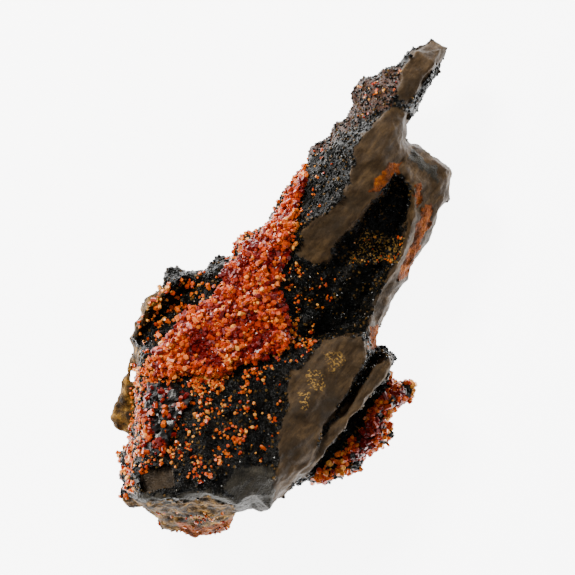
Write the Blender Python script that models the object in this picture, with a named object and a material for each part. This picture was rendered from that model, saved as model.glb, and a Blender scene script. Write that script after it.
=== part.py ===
"""Vanadinite on goethite matrix, a loose mineral specimen that lies on its broken back.

+Y runs up the specimen towards its spire, +X to the right of a viewer who looks down on it,
and +Z up from the surface to that viewer. The origin is the bottom centre of its box.
Every place and size below is in millimetres, and the finished solids are scaled to metres.
The matrix is drawn as a map: an outline with the height of its edge, and lines and spots with
their own heights on the front and on the back, which a triangulation joins to one closed body.
"""

import math
import random

import bmesh
import bpy
from mathutils import Matrix, Vector, geometry, noise
from mathutils.bvhtree import BVHTree

MM = 0.001

# Driving dimensions: VOXEL and CRUST_GRID are the fineness of the shapes, EDGE the height of the
# rim between front and back, and ROUGHNESS how far the surface strays from the map
VOXEL = 0.34
MATRIX_FACES = 4800
SEAT_DEPTH = 0.8
EDGE = 0.8
SKIN_GAP = 0.3
ROUGHNESS = 0.34
FRACTURE_SHARE = 0.35
BACK_ROUGHNESS = 0.9
FRONT_WEIGHT = 0.03
CRUST_GRID = 1.4

# Edge of the specimen, clockwise from the tip of the spire: the height of each stretch, then x, y
OUTLINE = (
    ("spire tip", 12.0, ((24.6, 40.0), (25.3, 39.4), (26.6, 39.2), (26.7, 38.6), (26.4, 37.4))),
    ("spire right", 11.5, ((25.4, 35.8), (23.0, 31.8), (22.4, 30.4), (20.6, 26.7), (20.2, 25.0))),
    ("wall top", 9.5, ((19.9, 23.9), (20.6, 23.5), (22.0, 23.5), (24.8, 21.4), (27.2, 20.0))),
    ("wall right", 10.0, ((27.7, 18.9), (27.3, 17.4), (26.9, 14.2), (23.7, 8.0), (22.2, 5.4))),
    ("wall foot", 8.5, ((20.5, 2.9), (18.8, -0.6), (17.7, -2.8), (15.7, -6.6), (14.9, -9.0))),
    ("slab end", 9.0, ((16.6, -10.1), (17.6, -10.9), (17.1, -12.6), (17.4, -13.9))),
    ("ledge tip", 7.0, ((18.6, -14.7), (20.5, -15.2), (21.1, -16.6), (20.8, -17.6), (18.2, -19.2))),
    ("ledge notch", 6.5, ((17.6, -20.2), (16.3, -20.5), (16.0, -21.8), (17.6, -22.1), (17.4, -24.5))),
    ("ledge foot", 7.0, ((16.0, -25.1), (13.4, -27.7), (11.4, -29.6), (9.3, -30.9), (7.2, -31.4))),
    ("ledge end", 8.0, ((5.3, -31.4), (2.9, -31.2))),
    ("wedge foot", 15.5, ((1.1, -32.0), (-1.6, -34.6), (-2.4, -35.4), (-4.6, -35.2), (-6.4, -35.2))),
    ("foot right", 9.5, ((-7.2, -35.8), (-8.0, -37.8), (-8.5, -38.7))),
    ("foot", 8.0, ((-10.2, -39.5), (-12.3, -39.8), (-14.7, -39.8), (-18.4, -38.9), (-19.8, -38.6))),
    ("foot left", 10.0, ((-20.0, -37.0), (-21.0, -36.8), (-22.1, -35.2), (-23.7, -34.4))),
    ("left lumps", 12.0, ((-25.2, -33.7), (-25.9, -32.2), (-25.1, -31.4), (-25.4, -29.0))),
    ("left side", 11.5, ((-25.1, -27.8), (-25.8, -27.0), (-24.6, -25.0))),
    ("fin lobe", 8.0, ((-26.2, -23.7), (-27.4, -22.6), (-27.4, -21.1), (-27.0, -19.5), (-27.4, -18.6))),
    ("fin", 8.0, ((-26.2, -15.5), (-24.2, -11.0), (-24.0, -9.8))),
    ("cavity left", 8.5, ((-24.6, -7.4), (-23.7, -5.0), (-22.9, -4.0), (-22.6, -2.1), (-20.2, -0.6))),
    ("cavity top", 8.0, ((-18.9, 0.0), (-19.0, 1.8), (-18.4, 2.7), (-16.3, 3.0), (-12.5, 3.0))),
    ("crust edge", 8.5, ((-11.8, 3.8), (-10.4, 5.1), (-7.9, 5.3), (-7.4, 7.7), (-6.8, 8.5))),
    ("fringe", 8.5, ((-5.1, 9.1), (-2.6, 10.6), (-1.1, 12.5), (-0.2, 14.2), (0.8, 16.6), (2.6, 19.0))),
    ("shoulder", 8.5, ((3.7, 20.0), (4.0, 22.1), (4.8, 23.2), (7.4, 24.6), (8.6, 26.2), (10.4, 27.4))),
    ("spire left", 9.5, ((10.9, 28.6), (11.5, 30.6), (11.2, 32.6), (12.8, 34.1), (14.9, 34.4))),
    ("spire top", 11.5, ((16.3, 35.4), (18.1, 35.4), (19.2, 36.5), (20.5, 38.2), (22.7, 39.0))),
)

# Front lines: each runs along an edge, a crest or the floor of a hollow
FRONT_LINES = {
    "spire face left": ((23.0, 38.4, 14.6), (21.4, 37.9, 15.4), (19.1, 35.0, 17.2), (18.1, 31.2, 18.2),
                        (18.8, 29.4, 18.6)),
    "spire face right": ((25.5, 38.6, 14.4), (24.2, 35.6, 16.2), (22.6, 33.4, 16.9), (21.3, 30.9, 17.3),
                         (20.0, 29.4, 17.6)),
    "spire rim": ((26.2, 37.9, 13.4), (24.8, 35.6, 14.2), (22.6, 31.9, 14.6), (21.2, 29.0, 15.2)),
    "band left": ((16.5, 28.3, 18.9), (15.4, 26.6, 19.4), (12.5, 24.2, 19.5), (11.2, 22.2, 19.4),
                  (11.4, 19.7, 19.6), (9.9, 15.0, 19.4), (7.8, 12.8, 19.0), (4.6, 10.7, 18.6),
                  (3.2, 8.8, 18.0), (2.7, 6.8, 17.4)),
    "band right": ((19.8, 27.4, 17.8), (19.4, 24.6, 17.8), (19.0, 22.4, 18.2), (17.9, 19.4, 18.4),
                   (16.9, 17.3, 18.8), (15.6, 15.0, 19.0), (13.6, 12.8, 18.9), (12.2, 10.8, 18.5),
                   (9.8, 8.5, 18.1), (8.4, 7.0, 17.7), (7.4, 4.4, 17.0), (4.3, 4.5, 16.8)),
    "pocket left floor": ((18.0, 16.6, 12.5), (16.4, 13.8, 12.0), (14.2, 11.6, 12.0), (12.8, 9.2, 12.2),
                          (10.4, 7.2, 13.0), (9.0, 4.0, 14.0), (5.6, 2.8, 15.6)),
    "pocket right floor": ((19.1, 16.4, 12.4), (19.4, 13.6, 11.6), (18.8, 10.2, 11.2), (17.4, 5.8, 11.0),
                           (14.8, 1.0, 11.0), (12.8, -3.4, 10.6)),
    "pocket ridge": ((8.6, 0.2, 14.2), (10.4, 1.8, 14.8), (12.4, 3.6, 14.4)),
    "pocket foot": ((12.3, -6.4, 10.4), (9.3, -6.6, 10.2), (6.6, -7.2, 11.6), (4.4, -8.4, 15.2)),
    "wall crest": ((18.6, 18.6, 18.0), (20.0, 17.4, 17.8), (21.0, 15.6, 17.4), (20.8, 12.0, 17.0),
                   (20.0, 8.6, 16.6), (18.9, 5.0, 16.4), (17.0, 2.0, 16.0), (14.9, -1.8, 15.8),
                   (13.7, -5.6, 16.6)),
    "wall groove": ((23.6, 15.6, 14.6), (22.6, 12.0, 14.2), (21.4, 7.6, 13.8), (19.4, 2.8, 13.2),
                    (17.2, -1.8, 13.0), (15.4, -5.6, 13.4)),
    "wall rim": ((27.0, 18.6, 13.6), (26.1, 14.4, 13.4), (22.9, 8.2, 12.8), (19.9, 3.0, 12.4),
                 (17.2, -2.8, 12.2), (15.0, -6.8, 12.8)),
    "wall top rim": ((20.6, 22.9, 13.6), (22.2, 22.5, 13.8), (24.7, 20.7, 13.8), (26.5, 19.5, 13.8)),
    "wall face": ((19.8, 21.6, 16.6), (21.8, 20.6, 15.8), (24.2, 18.6, 15.2), (25.2, 16.4, 14.8)),
    "wedge left": ((7.0, -8.1, 21.4), (4.6, -10.1, 21.8), (1.1, -13.4, 22.8), (0.9, -16.8, 23.6),
                   (0.3, -20.3, 24.4), (-0.4, -25.0, 25.2), (-0.8, -29.0, 24.8), (-1.9, -34.4, 21.6)),
    "wedge right": ((9.3, -7.6, 21.5), (12.4, -7.5, 21.6), (13.3, -9.6, 21.2), (12.4, -12.6, 21.5),
                    (9.0, -18.6, 22.0), (6.7, -21.4, 22.3), (5.0, -25.4, 22.4), (3.3, -28.8, 22.0),
                    (0.4, -31.8, 20.6)),
    "ribs": ((-1.0, -15.6, 21.4), (-1.6, -19.4, 21.8), (-2.6, -23.4, 22.6), (-3.0, -26.8, 24.2)),
    "crevice floor": ((14.9, -10.3, 9.4), (12.7, -14.1, 8.6), (9.9, -18.7, 8.6), (7.6, -22.4, 9.2),
                      (4.6, -27.6, 11.6)),
    "slab base": ((17.0, -14.0, 9.6), (13.2, -18.4, 10.2), (9.6, -22.9, 10.8), (5.2, -28.9, 11.4)),
    "crust right": ((2.1, 5.0, 16.4), (-2.1, -0.2, 17.0), (0.3, -2.2, 17.4), (0.8, -5.8, 18.2),
                    (0.4, -9.3, 20.2)),
    "lip": ((-19.2, -9.8, 18.4), (-15.2, -8.6, 18.8), (-10.8, -8.3, 19.4), (-6.6, -9.4, 19.8)),
    "lip hollow": ((-18.0, -11.0, 16.6), (-14.6, -10.4, 16.4), (-11.0, -10.2, 17.4)),
    "cavity rim": ((-23.4, -7.2, 12.4), (-22.0, -3.4, 12.6), (-19.8, -1.5, 12.8), (-18.3, 0.2, 12.2),
                   (-17.6, 2.0, 11.6), (-14.8, 2.2, 11.4), (-12.2, 2.0, 11.8), (-9.6, 3.8, 12.2)),
    "cavity floor": ((-21.6, -7.4, 9.6), (-20.0, -4.6, 8.6), (-17.2, -2.4, 8.0), (-15.4, 0.2, 8.2)),
    "left wall foot": ((-23.5, -10.0, 10.6), (-23.7, -15.4, 9.6), (-23.9, -19.4, 9.4), (-24.0, -23.6, 9.8)),
    "left wall top": ((-22.3, -10.4, 17.4), (-22.4, -15.4, 18.8), (-22.5, -20.4, 20.4),
                      (-22.9, -25.0, 21.2), (-23.6, -28.8, 21.4)),
    "ledge rim": ((-23.8, -32.2, 22.4), (-22.2, -32.7, 24.6), (-19.0, -32.8, 25.8), (-16.3, -32.6, 26.4),
                  (-11.5, -31.5, 27.0), (-9.0, -32.6, 26.4), (-6.7, -33.8, 24.8)),
    "underside": ((-23.0, -33.8, 17.8), (-19.4, -35.4, 18.6), (-14.8, -35.2, 19.8), (-10.6, -35.4, 19.2),
                  (-7.8, -35.2, 18.4)),
    "foot crest": ((-19.0, -37.8, 12.4), (-15.2, -38.4, 12.2), (-11.4, -38.4, 12.6), (-9.2, -37.6, 12.8)),
}

# Front spots: single high and low places between the lines
FRONT_SPOTS = (
    (15.6, 32.6, 15.2), (13.2, 31.4, 12.8), (14.6, 29.4, 16.2), (20.2, 33.0, 17.8), (17.8, 25.6, 19.8),
    (15.4, 21.4, 20.2), (12.8, 15.8, 19.8), (8.0, 9.8, 18.6),
    (9.6, 25.2, 13.4), (8.6, 21.8, 15.6), (6.2, 22.0, 12.2), (7.6, 17.6, 15.4), (4.8, 18.2, 11.8),
    (5.4, 13.6, 15.2), (2.4, 14.4, 11.6), (1.8, 10.4, 14.6), (-0.6, 10.0, 12.6), (-0.4, 6.8, 15.2),
    (-3.6, 7.6, 13.4), (-5.6, 5.2, 13.0), (-2.8, 3.4, 16.2), (-6.4, 1.4, 14.8), (-9.6, 0.6, 12.8),
    (-4.6, -3.2, 17.6), (-9.0, -3.6, 16.4), (-12.6, -2.6, 13.8), (-13.4, -6.4, 17.2), (-8.2, -6.6, 18.4),
    (-17.4, -7.4, 15.6), (-3.4, -7.4, 19.0), (3.2, 0.4, 15.8), (3.4, -4.4, 15.4), (5.6, -1.8, 13.6),
    (11.4, -1.2, 12.2), (15.6, 8.2, 11.6), (12.2, 6.6, 12.8), (16.8, 12.0, 11.4),
    (-19.8, -13.2, 19.4), (-14.6, -13.0, 21.0), (-8.6, -12.6, 21.4), (-3.0, -12.4, 21.6),
    (-18.8, -18.4, 21.8), (-12.4, -18.0, 23.6), (-6.0, -17.4, 22.8), (-19.4, -23.6, 23.2),
    (-13.0, -23.0, 25.4), (-7.0, -22.6, 24.4), (-20.6, -28.6, 24.4), (-15.4, -28.0, 26.4),
    (-9.6, -27.8, 27.0), (-5.0, -28.6, 26.0), (-4.4, -31.8, 24.6), (-12.6, -30.0, 27.2),
    (6.4, -12.6, 22.8), (5.2, -18.0, 24.0), (2.8, -24.4, 24.6), (0.9, -30.2, 22.8),
    (19.4, -16.6, 10.2), (16.2, -18.0, 11.6), (13.6, -21.6, 12.2), (15.8, -23.4, 10.4),
    (11.6, -25.6, 11.8), (8.2, -28.8, 12.0), (12.4, -27.6, 9.8),
    (-26.0, -21.4, 9.8), (-25.6, -17.6, 9.4),
)

# Back: the seat is the flat broken face that the specimen lies on, and the rest falls away from it
SEAT = ((-11.0, -1.6), (-3.6, 4.6), (4.8, 5.6), (10.6, -0.6), (9.8, -9.0), (7.4, -17.8), (0.4, -24.6),
        (-9.4, -27.0), (-15.6, -22.6), (-15.0, -15.4), (-16.2, -7.0))
BACK_LINES = {
    "spire keel": ((7.4, 13.4, 2.4), (11.6, 19.4, 4.4), (15.4, 25.8, 6.0), (18.4, 31.4, 7.2),
                   (22.8, 36.4, 9.2)),
    "wall keel": ((16.0, 5.4, 3.0), (20.2, 11.6, 4.4), (24.0, 17.2, 5.8)),
    "back gully": ((9.8, 8.6, 4.8), (13.4, 12.8, 6.6), (17.6, 18.0, 8.4)),
    "left ridge": ((-20.0, -4.4, 3.2), (-20.8, -12.0, 2.4), (-20.4, -20.2, 2.6), (-18.6, -27.8, 3.0)),
    "foot step": ((-14.2, -30.4, 1.6), (-6.4, -30.2, 2.0), (-0.6, -27.8, 1.4)),
}
BACK_SPOTS = (
    (12.8, 29.8, 7.8), (7.0, 21.4, 5.6), (2.4, 13.6, 4.0), (20.4, 20.8, 8.0), (3.6, 9.4, 2.0),
    (-6.8, 4.6, 3.6), (-15.8, 0.6, 4.6), (-22.0, -5.2, 5.0), (-23.2, -12.8, 4.8), (-25.6, -20.0, 5.4),
    (-22.8, -26.4, 5.2), (-21.2, -32.6, 6.0), (-15.0, -35.8, 4.2), (-10.6, -35.0, 3.4),
    (-4.0, -32.0, 6.4), (3.8, -28.6, 4.0), (10.8, -26.4, 3.8), (14.6, -22.4, 4.0), (14.2, -15.4, 2.6),
    (18.4, -17.0, 4.6), (14.6, -4.4, 3.2), (-1.6, 8.8, 3.0), (11.4, -13.6, 1.4), (10.2, -21.2, 2.6),
    (-4.0, -12.0, -0.8), (-2.0, -1.0, -0.8), (3.6, -8.0, -0.8), (-9.0, -18.0, -0.8), (0.4, -17.0, -0.8),
)

# Lumps and the slab join the body before it is made one: centre and radii
LUMPS = (
    ((-24.7, -32.6, 15.6), (1.3, 1.5, 2.4)), ((-24.9, -29.8, 15.0), (1.1, 1.4, 2.6)),
    ((-25.0, -26.8, 14.2), (1.0, 1.2, 2.0)), ((-23.6, -34.0, 14.4), (1.2, 1.0, 2.2)),
    ((19.9, -16.4, 9.6), (1.5, 1.4, 1.5)), ((18.0, -18.0, 10.4), (1.4, 1.3, 1.4)),
    ((16.6, -20.0, 10.2), (1.3, 1.2, 1.4)), ((16.4, -23.4, 9.8), (1.6, 1.6, 1.6)),
    ((14.2, -25.0, 10.6), (1.6, 1.5, 1.5)), ((11.8, -27.6, 10.4), (1.6, 1.5, 1.5)),
    ((13.6, -22.2, 11.6), (1.4, 1.4, 1.5)), ((9.4, -29.2, 10.4), (1.5, 1.4, 1.5)),
    ((6.6, -30.0, 10.2), (1.6, 1.2, 1.4)), ((-26.3, -21.8, 8.6), (1.2, 1.6, 1.4)),
    ((-13.4, -38.4, 10.2), (2.2, 1.3, 1.8)), ((-17.6, -37.6, 11.0), (1.8, 1.2, 1.9)),
    ((-9.8, -37.6, 10.8), (1.4, 1.3, 1.8)), ((8.6, -0.4, 12.9), (1.7, 1.4, 1.6)),
    ((4.6, -4.6, 14.6), (1.8, 1.6, 1.5)), ((2.8, 1.0, 15.2), (1.6, 1.5, 1.5)),
)
SLAB = ((17.4, -10.9, 19.2), (16.5, -11.9, 19.4), (12.9, -16.6, 20.4), (8.6, -22.0, 21.0),
        (5.4, -26.3, 21.2), (2.6, -29.3, 20.6))
SLAB_WIDTH = 1.7
SLAB_ROOT = 6.0

# Cracks that are cut into the front: their path, width at the mouth, and the height of their floor
CRACKS = (
    (((24.5, 35.3), (23.2, 33.2), (21.9, 31.2), (20.8, 29.6)), 0.75, 11.6),
    (((20.9, 22.2), (23.0, 21.0), (25.4, 19.2), (25.6, 17.8)), 0.8, 10.4),
    (((23.2, 15.1), (22.1, 12.8), (20.9, 10.6)), 0.7, 10.8),
    (((18.2, 2.6), (17.2, 0.4), (15.9, -2.0)), 0.8, 10.0),
    (((2.7, 7.0), (4.2, 5.9), (6.2, 5.3), (8.0, 6.0)), 0.4, 16.2),
)
FIN_HOLE = ((-24.3, -12.2), (-23.6, -13.0), (-23.5, -15.0), (-24.9, -15.1), (-24.6, -13.8))
RECESS = ((-22.2, -28.2, 22.6), (-17.2, -27.4, 23.6), (-16.8, -31.2, 24.2), (-21.9, -31.9, 22.4))
# The smooth broken faces, each between two of the front lines
FRACTURES = (("spire face left", "spire face right"), ("band left", "band right"),
             ("wedge left", "wedge right"))

# Where each crust lies, its thickness, the size of its crystals and how many stand out of it
CRUSTS = {
    "vanadinite_main_crust": dict(
        edge=((-9.4, 4.2), (-6.9, 4.6), (-6.4, 7.4), (-4.6, 8.3), (-2.2, 9.8), (-0.4, 12.0), (1.2, 15.6),
              (3.0, 18.4), (4.2, 17.6), (2.6, 14.0), (2.0, 10.6), (1.0, 7.0), (0.8, 4.0), (-1.0, 0.6),
              (0.6, -1.6), (1.2, -5.6), (0.6, -9.2), (-2.2, -10.6), (-5.6, -11.6), (-8.6, -13.4),
              (-13.0, -13.2), (-17.2, -13.4), (-20.2, -13.4), (-20.4, -9.6), (-17.6, -7.2),
              (-16.2, -3.8), (-12.0, -2.0), (-9.6, 0.6)),
        thick=(0.6, 2.3), crystal=(0.5, 0.85), count=50),
    "vanadinite_druse_crust": dict(
        edge=((-21.4, -14.6), (-16.6, -15.0), (-13.6, -17.0), (-16.2, -20.0), (-17.4, -23.6),
              (-19.4, -26.6), (-21.9, -25.4), (-21.8, -20.0)),
        thick=(0.5, 1.1), crystal=(0.5, 0.75), count=14),
    "vanadinite_ledge_crust": dict(
        edge=((17.6, -16.0), (20.0, -15.8), (20.4, -17.2), (17.6, -19.4), (15.9, -20.4), (16.6, -23.2),
              (14.8, -25.6), (12.0, -27.8), (9.6, -27.2), (11.2, -24.6), (13.2, -22.0), (14.2, -19.6)),
        thick=(0.5, 1.2), crystal=(0.5, 0.8), count=15),
}
# Single crystals that grow out of the matrix: x, y and half width
LOOSE_CRYSTALS = (
    (-10.4, -15.6, 0.6), (-6.2, -14.4, 0.55), (-8.8, -19.2, 0.6), (-11.6, -21.8, 0.6), (-4.8, -18.6, 0.5),
    (-14.4, -25.4, 0.6), (-8.2, -24.8, 0.5), (-10.8, -28.8, 0.6), (-3.4, -13.6, 0.55), (-13.2, -29.6, 0.5),
    (3.0, -8.6, 0.5), (2.4, -2.6, 0.55), (4.8, -0.6, 0.5), (1.8, 3.2, 0.5), (-20.6, -5.6, 0.7),
    (-17.0, 1.6, 0.6), (-13.6, 1.2, 0.6), (-15.4, -2.0, 0.7), (-19.2, -7.6, 0.6), (11.2, -29.0, 0.6),
    (7.8, -29.6, 0.6), (16.4, 31.6, 0.4), (20.6, 36.8, 0.4), (6.2, 16.0, 0.4), (15.0, 4.4, 0.4),
)


def add_object(name, mesh):
    made = bpy.data.objects.new(name, mesh)
    bpy.context.scene.collection.objects.link(made)
    return made


def mesh_of(name, bm):
    mesh = bpy.data.meshes.new(name)
    bm.to_mesh(mesh)
    bm.free()
    return mesh


def bake(obj):
    """Turns what the object's modifiers show into its own mesh."""
    graph = bpy.context.evaluated_depsgraph_get()
    baked = bpy.data.meshes.new_from_object(obj.evaluated_get(graph))
    obj.modifiers.clear()
    obj.data = baked


def combine(obj, other, operation):
    """A Boolean with another object, which is removed afterwards."""
    modifier = obj.modifiers.new(operation.title(), "BOOLEAN")
    modifier.operation = operation
    modifier.solver = "EXACT"
    modifier.object = other
    bake(obj)
    bpy.data.objects.remove(other)


def triangulated(lines, spots, rim_count):
    """Triangles inside the rim, which is the first rim_count points of the lines' first entry."""
    points = [p for line in lines for p in line] + list(spots)
    rim = list(range(rim_count))
    edges = []
    start = rim_count
    for line in lines[1:]:
        edges += [(start + i, start + i + 1) for i in range(len(line) - 1)]
        start += len(line)
    flat = [Vector(p[:2]) for p in points]
    places, _, faces, sources, _, _ = geometry.delaunay_2d_cdt(flat, edges, [rim], 1, 1e-4)
    heights = [points[found[0]][2] if found else None for found in sources]
    if None in heights:
        crossed = [tuple(round(c, 2) for c in p) for p, h in zip(places, heights) if h is None]
        raise ValueError(f"lines cross at {crossed}")
    return [(p.x, p.y, h) for p, h in zip(places, heights)], faces, sources


def body_mesh():
    """The closed map body: the front and the back triangulations share the outline."""
    rim = [(x, y, height) for _, height, points in OUTLINE for x, y in points]
    seat = [(x, y, -SEAT_DEPTH) for x, y in SEAT]
    sides = (
        ([rim, *FRONT_LINES.values()], FRONT_SPOTS, EDGE / 2),
        ([rim, seat + seat[:1], *BACK_LINES.values()], BACK_SPOTS, -EDGE / 2),
    )
    bm = bmesh.new()
    rims = []
    for lines, spots, shift in sides:
        places, faces, sources = triangulated(lines, spots, len(rim))
        on_rim = [bm.verts.new((x, y, height + shift)) for x, y, height in rim]
        rims.append(on_rim)
        verts = []
        for place, found in zip(places, sources):
            is_rim = min(found) < len(rim)
            verts.append(on_rim[min(found)] if is_rim else bm.verts.new(place))
        for face in faces:
            corners = [verts[i] for i in face]
            bm.faces.new(corners[::-1] if shift < 0 else corners)
    front, back = rims
    for i in range(len(rim)):
        j = (i + 1) % len(rim)
        bm.faces.new((front[i], front[j], back[j], back[i]))
    return bm


def add_lump(bm, centre, radii):
    made = bmesh.ops.create_icosphere(bm, subdivisions=2, radius=1.0)["verts"]
    for vert in made:
        vert.co = Vector(c + r * v for c, r, v in zip(centre, radii, vert.co))


def add_ribbon(bm, path, width, floor, taper=1.0):
    """A closed strip along a path of x, y, z, with its top on the path and its foot at the floor."""
    rings = []
    for i, point in enumerate(path):
        here = Vector(point[:2])
        ahead = Vector(path[min(i + 1, len(path) - 1)][:2])
        behind = Vector(path[max(i - 1, 0)][:2])
        along = (ahead - behind).normalized()
        across = Vector((-along.y, along.x)) * width / 2
        foot = across * taper
        corners = (
            (*(here + across), point[2]), (*(here - across), point[2]),
            (*(here - foot), floor), (*(here + foot), floor),
        )
        rings.append([bm.verts.new(c) for c in corners])
    for near, far in zip(rings, rings[1:]):
        for i in range(4):
            j = (i + 1) % 4
            bm.faces.new((near[i], far[i], far[j], near[j]))
    bm.faces.new(rings[0])
    bm.faces.new(rings[-1][::-1])


def outward(bm):
    bmesh.ops.recalc_face_normals(bm, faces=bm.faces)


def make_one(obj):
    """Rebuilds overlapping shapes as one closed surface of even faces."""
    remesh = obj.modifiers.new("Remesh", "REMESH")
    remesh.mode = "VOXEL"
    remesh.voxel_size = VOXEL
    bake(obj)


def roughen(obj, strength, back_strength, grain):
    """Moves each point along its normal by a fractal: least on the broken faces, most on the back."""
    broken = [FRONT_LINES[left] + FRONT_LINES[right][::-1] for left, right in FRACTURES]
    bm = bmesh.new()
    bm.from_mesh(obj.data)
    bm.normal_update()
    for vert in bm.verts:
        reach = strength + (back_strength - strength) * backness(vert.normal)
        if vert.normal.z > 0 and any(inside(vert.co.x, vert.co.y, edge) for edge in broken):
            reach *= FRACTURE_SHARE
        push = noise.fractal(vert.co / grain, 0.7, 2.1, 4)
        vert.co += vert.normal * push * reach
    obj.data = mesh_of(obj.name, bm)


def backness(normal):
    """0 where the surface faces up, 1 where it faces down."""
    return max(0.0, min(1.0, 0.5 - normal.z))


def thin_out(obj, faces):
    """Decimates to a number of triangles, and keeps more of them on the front than on the back."""
    group = obj.vertex_groups.new(name="back")
    for vert in obj.data.vertices:
        group.add([vert.index], 0.1 + 0.9 * backness(vert.normal), "REPLACE")
    decimate = obj.modifiers.new("Decimate", "DECIMATE")
    decimate.ratio = faces / (2 * len(obj.data.polygons))
    decimate.vertex_group = "back"
    decimate.vertex_group_factor = FRONT_WEIGHT
    bake(obj)
    obj.vertex_groups.clear()


def cutter(name, build):
    """A helper solid, made by a function that fills an empty bmesh."""
    bm = bmesh.new()
    build(bm)
    outward(bm)
    made = add_object(name, mesh_of(name, bm))
    made.hide_render = True
    made.display_type = "WIRE"
    return made


def prism_between(bm, outline, low, high):
    """An upright prism over an outline, its ends at two heights."""
    bottom = [bm.verts.new((x, y, low)) for x, y in outline]
    top = [bm.verts.new((x, y, high)) for x, y in outline]
    bm.faces.new(bottom[::-1])
    bm.faces.new(top)
    for i in range(len(outline)):
        j = (i + 1) % len(outline)
        bm.faces.new((bottom[i], bottom[j], top[j], top[i]))


def add_crystal(bm, foot, axis, half_width, reach, root):
    """A flat-ended hexagonal prism that stands on a point along an axis."""
    turn = axis.to_track_quat("Z", "Y").to_matrix()
    base, cap = [], []
    for step in range(6):
        angle = math.radians(60 * step)
        across = Vector((math.cos(angle), math.sin(angle), 0.0)) * half_width
        base.append(bm.verts.new(foot + turn @ (across - Vector((0.0, 0.0, root)))))
        cap.append(bm.verts.new(foot + turn @ (across + Vector((0.0, 0.0, reach)))))
    for i in range(6):
        j = (i + 1) % 6
        bm.faces.new((base[i], base[j], cap[j], cap[i]))
    bm.faces.new(base[::-1])
    bm.faces.new(cap)


def surface_of(obj):
    bm = bmesh.new()
    bm.from_mesh(obj.data)
    tree = BVHTree.FromBMesh(bm)
    bm.free()
    return tree


def drop(tree, x, y):
    """Where a line straight down first meets the surface, and the surface's normal there."""
    place, normal, _, _ = tree.ray_cast(Vector((x, y, 100.0)), Vector((0, 0, -1)))
    return place, normal


def inside(x, y, outline):
    hit = False
    for (ax, ay, *_), (bx, by, *_) in zip(outline, outline[1:] + outline[:1]):
        if (ay > y) != (by > y) and x < (bx - ax) * (y - ay) / (by - ay) + ax:
            hit = not hit
    return hit


def make_matrix():
    bm = body_mesh()
    for centre, radii in LUMPS:
        add_lump(bm, centre, radii)
    add_ribbon(bm, SLAB, SLAB_WIDTH, SLAB_ROOT)
    outward(bm)
    matrix = add_object("goethite_matrix", mesh_of("goethite_matrix", bm))
    make_one(matrix)
    roughen(matrix, ROUGHNESS, BACK_ROUGHNESS, 4.0)
    roughen(matrix, ROUGHNESS * 0.5, ROUGHNESS * 0.6, 1.3)
    make_one(matrix)
    thin_out(matrix, MATRIX_FACES)
    for path, width, floor in CRACKS:
        raised = [(x, y, 30.0) for x, y in path]
        combine(matrix, cutter("crack", lambda bm: add_ribbon(bm, raised, width, floor, 0.2)), "DIFFERENCE")
    combine(matrix, cutter("hole", lambda bm: prism_between(bm, FIN_HOLE, 0.0, 30.0)), "DIFFERENCE")
    combine(matrix, cutter("recess", add_recess), "DIFFERENCE")
    combine(matrix, cutter("ground", add_ground), "DIFFERENCE")
    return matrix


def add_recess(bm):
    """The smooth hollow above the lower rim: its floor, and a wider mouth above it."""
    floor = [bm.verts.new(p) for p in RECESS]
    mouth = [bm.verts.new((x * 1.02, y + 0.2, 32.0)) for x, y, _ in RECESS]
    bm.faces.new(floor)
    bm.faces.new(mouth[::-1])
    for i in range(4):
        j = (i + 1) % 4
        bm.faces.new((floor[i], mouth[i], mouth[j], floor[j]))


def add_ground(bm):
    """All that lies below the surface the specimen rests on."""
    prism_between(bm, ((-40, -50), (40, -50), (40, 50), (-40, 50)), -20.0, 0.0)


def grow_loose_crystals(matrix):
    random.seed(7)
    tree = surface_of(matrix)

    def build(bm):
        for x, y, half_width in LOOSE_CRYSTALS:
            place, normal = drop(tree, x, y)
            lean = Vector((random.uniform(-0.4, 0.4), random.uniform(-0.4, 0.4), 0.3))
            axis = (normal + lean).normalized()
            add_crystal(bm, place, axis, half_width, half_width * 1.5, half_width)

    combine(matrix, cutter("crystals", build), "UNION")


def crust_shell(name, tree, spec):
    """A closed sheet that lies over part of the matrix, on a staggered grid of points."""
    edge = spec["edge"]
    low_x, high_x = min(p[0] for p in edge), max(p[0] for p in edge)
    low_y, high_y = min(p[1] for p in edge), max(p[1] for p in edge)
    spots = []
    for row in range(math.ceil((high_y - low_y) / (CRUST_GRID * 0.87))):
        y = low_y + row * CRUST_GRID * 0.87
        for column in range(math.ceil((high_x - low_x) / CRUST_GRID)):
            x = low_x + (column + row % 2 / 2) * CRUST_GRID
            if inside(x, y, edge) and edge_distance(x, y, edge) > CRUST_GRID * 0.45:
                spots.append((x, y, 0.0))
    rim = [(x, y, 0.0) for x, y in spaced(edge, CRUST_GRID * 1.2)]
    places, faces, _ = triangulated([rim], spots, len(rim))
    bm = bmesh.new()
    top, bottom = [], []
    low, high = spec["thick"]
    for x, y, _ in places:
        ground = ground_under(tree, x, y)
        swell = 0.5 + 0.5 * noise.noise(Vector((x, y, ground)) / 2.3)
        thick = low + (high - low) * swell
        thick *= min(1.0, 0.5 + edge_distance(x, y, edge) / 2.0)
        bottom.append(bm.verts.new((x, y, ground + SKIN_GAP)))
        top.append(bm.verts.new((x, y, ground + SKIN_GAP + thick)))
    sides = set()
    for face in faces:
        bm.faces.new([top[i] for i in face])
        bm.faces.new([bottom[i] for i in reversed(face)])
        sides |= set(zip(face, face[1:] + face[:1]))
    for a, b in sides:
        if (b, a) not in sides:
            bm.faces.new((top[b], top[a], bottom[a], bottom[b]))
    return add_object(name, mesh_of(name, bm))


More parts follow.
